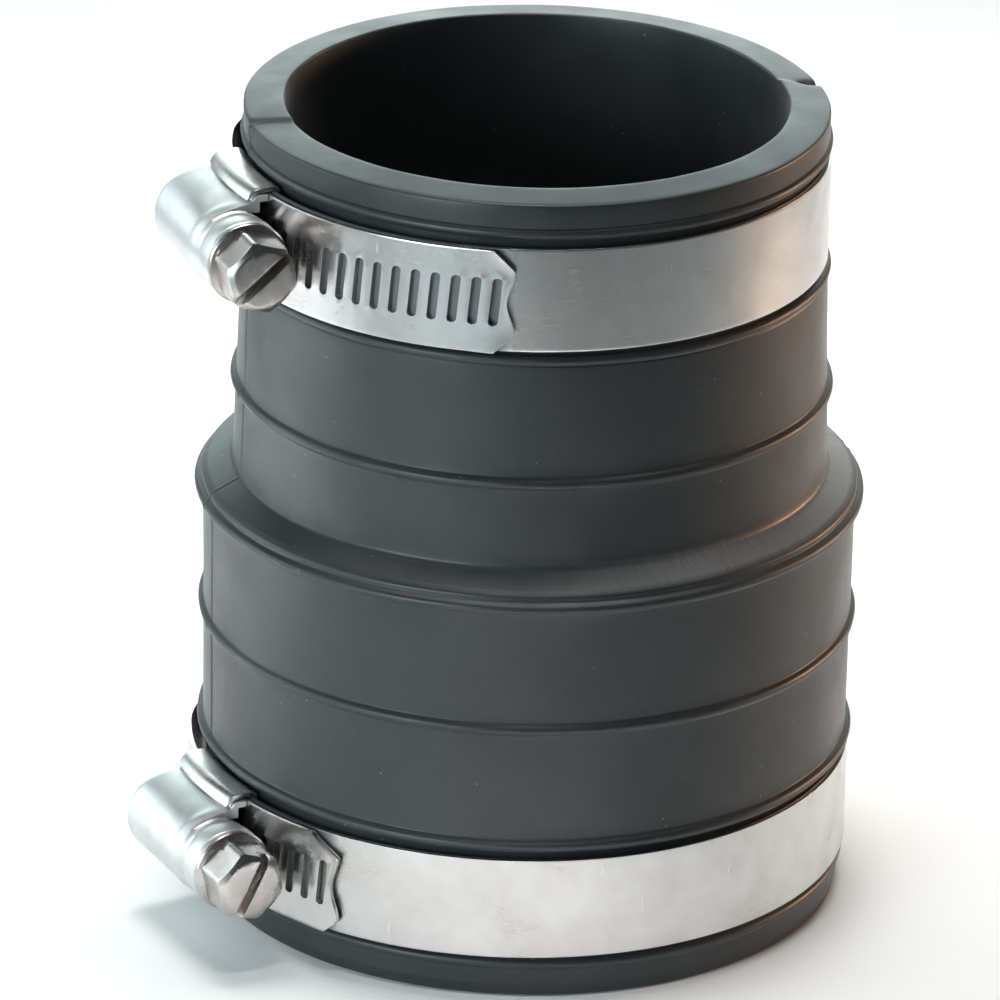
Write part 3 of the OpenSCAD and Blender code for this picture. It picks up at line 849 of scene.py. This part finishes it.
TUNNEL = (-8.5, 7.6)
BARREL_R = 5.0
BARREL_FROM = -6.9  # where the rounded far end is over
FLANGE_TO = 6.7
FLANGE_INSET = 0.05
FLANGE_TOP = 1.86  # the flanges' outer face, over the tail
FRONT_OPEN = 2.2  # how far over the tail the open head end starts
END_ROUND = 1.3
WALL_HALF_W = 5.45
WALL_FROM = 1.9
WALL_PULL = 1.7  # how strongly the side walls curve into the crown
WALL_STEPS = 9
CROWN_FROM = 26
CROWN_STEPS = 10
CAVITY_R = 4.3
JOURNAL_R, TIP_R = 3.05, 1.55
JOURNAL_BORE, TIP_BORE = (5.5, 12), (-9.5, -6)
END_FADE = 2.6  # height over the feet in which the far end's rounding grows
UNDER = 3  # how far under the tail the cutting tools start
RUN_REACH, RUN_HALF_W = 24, 9  # the tail's run: degrees each way, and half its width
COLLAR_EDGE = [(10.75, 4.88), (10.87, 4.75), (10.9, 4.55)]
BARREL_PROFILE = [(TUNNEL[0], BARREL_R), (4.3, BARREL_R), (5.5, 5.14), (6.3, 5.04), (7.4, 4.66),
                  (8.8, 4.93), (9.6, 4.97), (10.9, 4.95)]


def barrel_radius(x):
    """Outer radius of the barrel at x: a formed ring, a waist and the collar behind the flange."""
    at, radius = zip(*BARREL_PROFILE)
    i = int(np.clip(np.searchsorted(at, x) - 1, 0, len(at) - 2))
    t = smoothstep((x - at[i]) / (at[i + 1] - at[i]))
    return radius[i] + (radius[i + 1] - radius[i]) * t


def crown_points(clamp, radius, first, count):
    """The round crown from an angle over the screw's axis to its top, as (across, out)."""
    angles = [math.radians(first + (90 - first) * k / count) for k in range(count + 1)]
    return [(radius * math.cos(a), clamp.screw_r + radius * math.sin(a)) for a in angles]


def mirrored(half):
    """A half section whose last point lies on the middle line, and its mirror image."""
    return half + [(-p, q) for p, q in half[-2:0:-1]]


def tunnel_section(clamp, x, radius):
    """One section of the tunnel at x, as (across, out): flanges in the hems, side walls and crown."""
    def level(r):
        return math.sqrt(r * r - x * x)

    flange = clamp.band_w / 2 - FLANGE_INSET
    feet = level(clamp.tail_r + RUN_GAP)
    half = [(0, feet), (flange, feet)]
    for k in range(HEM_STEPS + 1):
        r, v = hem_point(clamp, HEM_BEND_R, k / HEM_STEPS)
        half.append((min(v, flange), level(r)))
    crown = crown_points(clamp, radius, CROWN_FROM, CROWN_STEPS)
    start = (WALL_HALF_W, max(clamp.tail_r + WALL_FROM, half[-1][1] + 0.05))
    slope = math.radians(CROWN_FROM)
    control = (crown[0][0] + WALL_PULL * math.sin(slope), crown[0][1] - WALL_PULL * math.cos(slope))
    for k in range(WALL_STEPS):
        t = k / WALL_STEPS
        half.append(tuple((1 - t) ** 2 * p + 2 * t * (1 - t) * q + t * t * r
                          for p, q, r in zip(start, control, crown[0])))
    return half + crown


def neck_section(clamp, radius, count):
    """The same number of points over the open head end, where only the round part is left."""
    low = clamp.tail_r + FRONT_OPEN
    first = math.degrees(math.asin((low - clamp.screw_r) / radius))
    floor_count = 6
    side = crown_points(clamp, radius, first, count - floor_count - 1)
    floor = [(side[0][0] * k / floor_count, low) for k in range(floor_count)]
    return floor + side


def tunnel_ring(clamp, x, half):
    return clamp.place([(x, -q, p + clamp.band_w / 2) for p, q in mirrored(half)])


def rounded_end(clamp, half, inset):
    """A section drawn in towards the screw's axis, fully at the crown and less at the feet."""
    moved = []
    for p, q in half:
        out = q - clamp.screw_r
        away = math.hypot(p, out)
        share = smoothstep((q - clamp.tail_r - WALL_FROM) / END_FADE)
        keep = 1 - inset * share / max(away, 1)
        moved.append((p * keep, clamp.screw_r + out * keep))
    return moved


def outer_tunnel(clamp):
    """The pressed tunnel as one solid loaf, rounded at its far end and open under its neck."""
    rings = []
    for share in np.linspace(0, 1, 9):
        a = math.radians(90 * share)
        x = TUNNEL[0] + END_ROUND * (1 - math.cos(a))
        half = rounded_end(clamp, tunnel_section(clamp, x, BARREL_R), END_ROUND * (1 - math.sin(a)))
        rings.append(tunnel_ring(clamp, x, half))
    for x in np.linspace(BARREL_FROM, FLANGE_TO, 34):
        half = tunnel_section(clamp, x, barrel_radius(x))
        rings.append(tunnel_ring(clamp, x, half))
    for x in np.linspace(FLANGE_TO + 0.01, TUNNEL[1], 5):
        rings.append(tunnel_ring(clamp, x, neck_section(clamp, barrel_radius(x), len(half))))
    return new_object(clamp.size + "_worm_housing", *loft(rings))


def round_steps(count):
    return np.linspace(0, 2 * math.pi, count, endpoint=False)


def axis_ring(clamp, x, radius, count, turned=0.0):
    """A ring round the screw's axis. The radius is one value, or one for each point."""
    a = round_steps(count) + turned
    return clamp.place(np.stack([x + 0 * a, -clamp.screw_r - radius * np.cos(a),
                                 clamp.band_w / 2 + radius * np.sin(a)], axis=1))


def axis_solid(clamp, name, profile, count):
    """A solid turned round the screw's axis from a profile of (x, radius)."""
    return new_object(name, *loft([axis_ring(clamp, x, radius, count) for x, radius in profile]))


def housing_tools(clamp):
    """Solids to cut out: the worm's cavity, the flanges' hollow, the tail's run and the two bearings."""
    deep, run_r = clamp.tail_r - UNDER, clamp.tail_r + RUN_GAP
    half = [(0, deep), (CAVITY_R, deep)] + crown_points(clamp, CAVITY_R, 0, CROWN_STEPS)
    stations = np.linspace(TUNNEL[0] + SHEET_T, TUNNEL[1] - SHEET_T, 12)
    cavity_rings = [tunnel_ring(clamp, x, half) for x in stations]
    side = clamp.band_w / 2 - FLANGE_INSET - SHEET_T
    hollow_rings = []
    for x in np.linspace(TUNNEL[0] - 1, -TUNNEL[0] + 1, 20):
        top = math.sqrt((clamp.tail_r + FLANGE_TOP - SHEET_T) ** 2 - x * x)
        hollow_rings.append(tunnel_ring(clamp, x, [(0, deep), (side, deep), (side, top), (0, top)]))
    low, high = clamp.band_w / 2 - RUN_HALF_W, clamp.band_w / 2 + RUN_HALF_W
    run_rings = []
    for a in np.linspace(-RUN_REACH, RUN_REACH, 49):
        corners = [(deep, low), (run_r, low), (run_r, high), (deep, high)]
        run_rings.append(clamp.place([round_at(r, a, v) for r, v in corners]))
    return [
        new_object("cavity", *loft(cavity_rings)),
        new_object("hollow", *loft(hollow_rings)),
        new_object("run", *loft(run_rings)),
        axis_solid(clamp, "journal_bore", [(x, JOURNAL_R) for x in JOURNAL_BORE], 48),
        axis_solid(clamp, "tip_bore", [(x, TIP_R) for x in TIP_BORE], 32),
    ]


def make_housing(clamp):
    piece = outer_tunnel(clamp)
    collar = [(x, barrel_radius(x)) for x in np.arange(FLANGE_TO + 0.3, 10.6, 0.2)] + COLLAR_EDGE
    combine(piece, [axis_solid(clamp, "neck", collar, 72)], "UNION")
    combine(piece, housing_tools(clamp), "DIFFERENCE")
    soften(piece, 0.12, 50)
    finish_piece(piece, HOUSING, clamp.size + "_clamp", clamp.size + "_housing", 40)


# ---- screw

HEX_AF = 7.94
HEX_TO = 17.2
HEX_ANGLE = 13
HEX_CORNER = 1.128  # corner radius of the hexagon over its flat radius
FLANGE_FROM, FLANGE_END, FLANGE_R = 11.0, 12.0, 5.0
BACK_ROUND, FRONT_ROUND = 0.3, 0.45  # rounds on the flange's two edges
FRONT_INSET = 0.12  # how far the flange's front round ends before the hexagon's root
ROOT_GAP = 0.04  # from the flange's front to the hexagon's first ring
FLAT_FRONT = 0.86  # share of the flat radius up to which the head's front is nearly flat
FRONT_CROWN = 0.10
CHAMFER = 32  # degrees
CHAMFER_SOFT, CHAMFER_LEAD = 0.003, 0.055  # soften the chamfer's inner edge
CORE_R = 3.1
DRIVE_SLOT_W, DRIVE_SLOT_D = 1.25, 1.7
DRIVE_SLOT_CUT = 8  # half the length of the tool that cuts it
BOX_FACES = [(0, 1, 2, 3), (7, 6, 5, 4), (0, 4, 5, 1), (1, 5, 6, 2), (2, 6, 7, 3), (3, 7, 4, 0)]
SCREW_POINTS = 96
THREAD_FROM, THREAD_TURNS = -7.0, 5.25
THREAD_STEPS = 36  # for each turn
THREAD_FADE = 12  # steps over which the thread runs out at each end
THREAD_SINK = 0.25  # how deep the thread's root lies in the core
THREAD_ROOT = CORE_R - THREAD_SINK
SHAFT = [(-8.4, 1.3), (-8.3, 1.5), (-7.6, 1.5), (-7.6, 2.9), (-7.4, CORE_R), (6.6, CORE_R), (6.7, 3.0),
         (FLANGE_FROM, 3.0)]  # tip bearing, core and journal, as (x, radius)
RIB = [(THREAD_ROOT, -0.5), (THREAD_R - 0.06, -0.24), (THREAD_R, -0.16), (THREAD_R, 0.16),
       (THREAD_R - 0.06, 0.24), (THREAD_ROOT, 0.5)]  # the thread's section, as (radius, offset along x)


def hex_radius(a):
    """Radius of the hexagon in direction a, with slightly rounded corners."""
    flat = HEX_AF / 2
    to_flat = (a + math.pi / 6) % (math.pi / 3) - math.pi / 6
    return np.minimum(flat / np.cos(to_flat), flat * HEX_CORNER)


def front_drop(radius):
    """How far the head's front stands back at a radius: nearly flat, then a chamfer."""
    flat_r = HEX_AF / 2 * FLAT_FRONT
    over = np.maximum(0, radius - flat_r)
    chamfer = np.sqrt((over * math.tan(math.radians(CHAMFER))) ** 2 + CHAMFER_SOFT) - CHAMFER_LEAD
    return FRONT_CROWN * (radius / flat_r) ** 2 + chamfer


def shaft_profile():
    """The turned part of the screw, from its tip to the hexagon's root, as (x, radius)."""
    profile = list(SHAFT)
    for t in np.radians(np.linspace(0, 90, 5)):
        x = FLANGE_FROM + BACK_ROUND * (1 - math.cos(t))
        profile.append((x, FLANGE_R - BACK_ROUND + BACK_ROUND * math.sin(t)))
    for t in np.radians(np.linspace(0, 90, 7)):
        x = FLANGE_END - FRONT_INSET - FRONT_ROUND + FRONT_ROUND * math.sin(t)
        profile.append((x, FLANGE_R - FRONT_ROUND + FRONT_ROUND * math.cos(t)))
    return profile + [(FLANGE_END + 0.02, HEX_AF / 2 + 0.35)]


def drive_slot(clamp):
    """The straight slot to cut across the head."""
    a = math.radians(clamp.drive_slot_angle)
    c, s = math.cos(a), math.sin(a)
    corners = []
    for x in (HEX_TO - DRIVE_SLOT_D, HEX_TO + 1):
        for p, q in ((-1, -1), (1, -1), (1, 1), (-1, 1)):
            p, q = p * DRIVE_SLOT_W / 2, q * DRIVE_SLOT_CUT
            corners.append((x, -clamp.screw_r + p * c - q * s, clamp.band_w / 2 + p * s + q * c))
    return new_object("slot", clamp.place(corners), BOX_FACES)


def worm_thread(clamp):
    """One trapezoid rib swept along a helix round the screw's core, in step with the band's slots."""
    count = int(THREAD_TURNS * THREAD_STEPS)
    start = 90 + 360 * THREAD_FROM / WORM_PITCH
    rings = []
    for i in range(count + 1):
        turn = math.radians(start + 360 * i / THREAD_STEPS)
        fade = min(1.0, i / THREAD_FADE, (count - i) / THREAD_FADE)
        local = []
        for radius, offset in RIB:
            r = THREAD_ROOT + (radius - CORE_R + THREAD_SINK) * (0.25 + 0.75 * fade)
            x = THREAD_FROM + WORM_PITCH * i / THREAD_STEPS + offset
            local.append((x, -clamp.screw_r + r * math.sin(turn), clamp.band_w / 2 - r * math.cos(turn)))
        rings.append(clamp.place(local))
    return new_object("thread", *loft(rings))


def make_screw(clamp):
    def ring(x, radius, turned):
        return axis_ring(clamp, x, radius, SCREW_POINTS, turned)

    rings = [ring(x, radius, 0.0) for x, radius in shaft_profile()]
    turned = math.radians(-HEX_ANGLE)
    side = hex_radius(round_steps(SCREW_POINTS))
    flat_l = HEX_TO - front_drop(side) - FLANGE_END - ROOT_GAP
    for share in (0.0, 0.25, 0.5, 0.75, 0.93, 1.0):
        rings.append(ring(FLANGE_END + ROOT_GAP + flat_l * share, side, turned))
    for share in (0.985, 0.95, 0.9, 0.86, 0.8, 0.65, 0.45, 0.2, 0.05):
        rings.append(ring(HEX_TO - front_drop(side * share), side * share, turned))
    piece = new_object(clamp.size + "_worm_screw", *loft(rings))
    combine(piece, [drive_slot(clamp)], "DIFFERENCE")
    combine(piece, [worm_thread(clamp)], "UNION")
    soften(piece, 0.07, 45)
    finish_piece(piece, SCREW, clamp.size + "_screw", clamp.size + "_screw", 35)


# ---- build

UPPER = Clamp("upper", 16, (2.6, 2.5, 2.5, 2.4), -51)
LOWER = Clamp("lower", 8, (4.1, 2.6, 1.9, 1.7), -28)
make_sleeve(UPPER, LOWER)
for clamp in (UPPER, LOWER):
    make_band(clamp)
    make_saddle(clamp)
    make_housing(clamp)
    make_screw(clamp)


# ---- floor, lights and camera

FLOOR_HALF = 6.0
FLOOR_DROP = 0.0002  # keeps the floor just under the sleeve's foot
MIDDLE = (0, 0, 0.06)
WORLD_COLOR, WORLD_STRENGTH = (0.90, 0.95, 1.0, 1), 0.03

# name, place, target, size, power, colour, spread in degrees
LIGHTS = (
    ("overhead", (0.0, 0.17, 0.62), (0.0, 0.155, 0), (0.42, 0.42), 0.64, (1.0, 0.99, 0.97), 42),
    ("backdrop", (0.0, 1.25, 0.42), MIDDLE, (1.6, 0.8), 2.2, (0.84, 1.0, 0.99), 70),
    ("window", (-0.37, -0.47, 0.16), MIDDLE, (0.35, 0.3), 0.45, (0.80, 0.95, 1.0), 70),
    ("side", (-0.60, 0.15, 0.22), MIDDLE, (0.7, 0.5), 0.72, (0.86, 0.97, 1.0), 80),
    ("lamp", (0.52, 0.24, 0.10), MIDDLE, (0.3, 0.10), 0.12, (1.0, 0.60, 0.38), 32),
    ("front_pool", (-0.01, -0.22, 0.50), (-0.01, -0.125, 0), (0.07, 0.07), 0.052, (1.0, 0.99, 0.98), 20),
    ("right_pool", (0.27, 0.05, 0.55), (0.225, 0.05, 0), (0.08, 0.08), 0.030, (1.0, 0.66, 0.42), 20),
    ("left_pool", (-0.20, -0.34, 0.45), (-0.11, -0.21, 0), (0.08, 0.08), 0.026, (0.72, 0.88, 1.0), 24),
    ("far_left_pool", (-0.25, 0.01, 0.55), (-0.21, 0.0, 0), (0.10, 0.10), 0.27, (0.88, 0.96, 1.0), 20),
)

CAMERA_PLACE = (0, -0.94026, 0.44235)
YAW, PITCH, ROLL = math.radians(0.212), math.radians(22.759), math.radians(1.2)
LENS = 301.6


def make_floor():
    mesh = bpy.data.meshes.new("floor")
    corners = [(x * FLOOR_HALF, y * FLOOR_HALF, 0) for x, y in ((-1, -1), (1, -1), (1, 1), (-1, 1))]
    mesh.from_pydata(corners, [], [(0, 1, 2, 3)])
    floor = add_object("floor", mesh)
    s = Shader("floor_paper", (0.93, 0.93, 0.93), 0.7, Specular_IOR_Level=0.2)
    mesh.materials.append(s.material)
    floor.location.z = -FLOOR_DROP


def make_world():
    """A dim room, so that the steel shows contrast."""
    world = bpy.data.worlds.new("studio")
    bpy.context.scene.world = world
    world.use_nodes = True
    background = world.node_tree.nodes["Background"]
    background.inputs["Color"].default_value = WORLD_COLOR
    background.inputs["Strength"].default_value = WORLD_STRENGTH


def make_lights():
    """Soft boxes above, behind and at both sides, and four pools on the floor that the sides reflect."""
    for name, place, target, size, power, color, spread in LIGHTS:
        data = bpy.data.lights.new(name, "AREA")
        data.shape = "RECTANGLE"
        data.size, data.size_y = size
        data.energy = power
        data.color = color
        data.spread = math.radians(spread)
        lamp = add_object(name, data)
        lamp.visible_camera = False
        lamp.location = place
        lamp.rotation_mode = "QUATERNION"
        lamp.rotation_quaternion = (Vector(target) - Vector(place)).to_track_quat("-Z", "Y")


def make_camera():
    """A long lens from the front, looking down on the coupling."""
    data = bpy.data.cameras.new("camera")
    camera = add_object("camera", data)
    bpy.context.scene.camera = camera
    data.sensor_width = 36
    data.lens = LENS
    data.clip_start, data.clip_end = 0.05, 50
    level = math.cos(PITCH)
    forward = Vector((-math.sin(YAW) * level, math.cos(YAW) * level, -math.sin(PITCH)))
    right = Vector((math.cos(YAW), math.sin(YAW), 0))
    up = right.cross(forward)
    rolled_right = math.cos(ROLL) * right + math.sin(ROLL) * up
    rolled_up = math.cos(ROLL) * up - math.sin(ROLL) * right
    matrix = Matrix((rolled_right, rolled_up, -forward)).transposed().to_4x4()
    matrix.translation = Vector(CAMERA_PLACE)
    camera.matrix_world = matrix


make_floor()
make_world()
make_lights()
make_camera()
bpy.context.scene.view_settings.view_transform = "Standard"
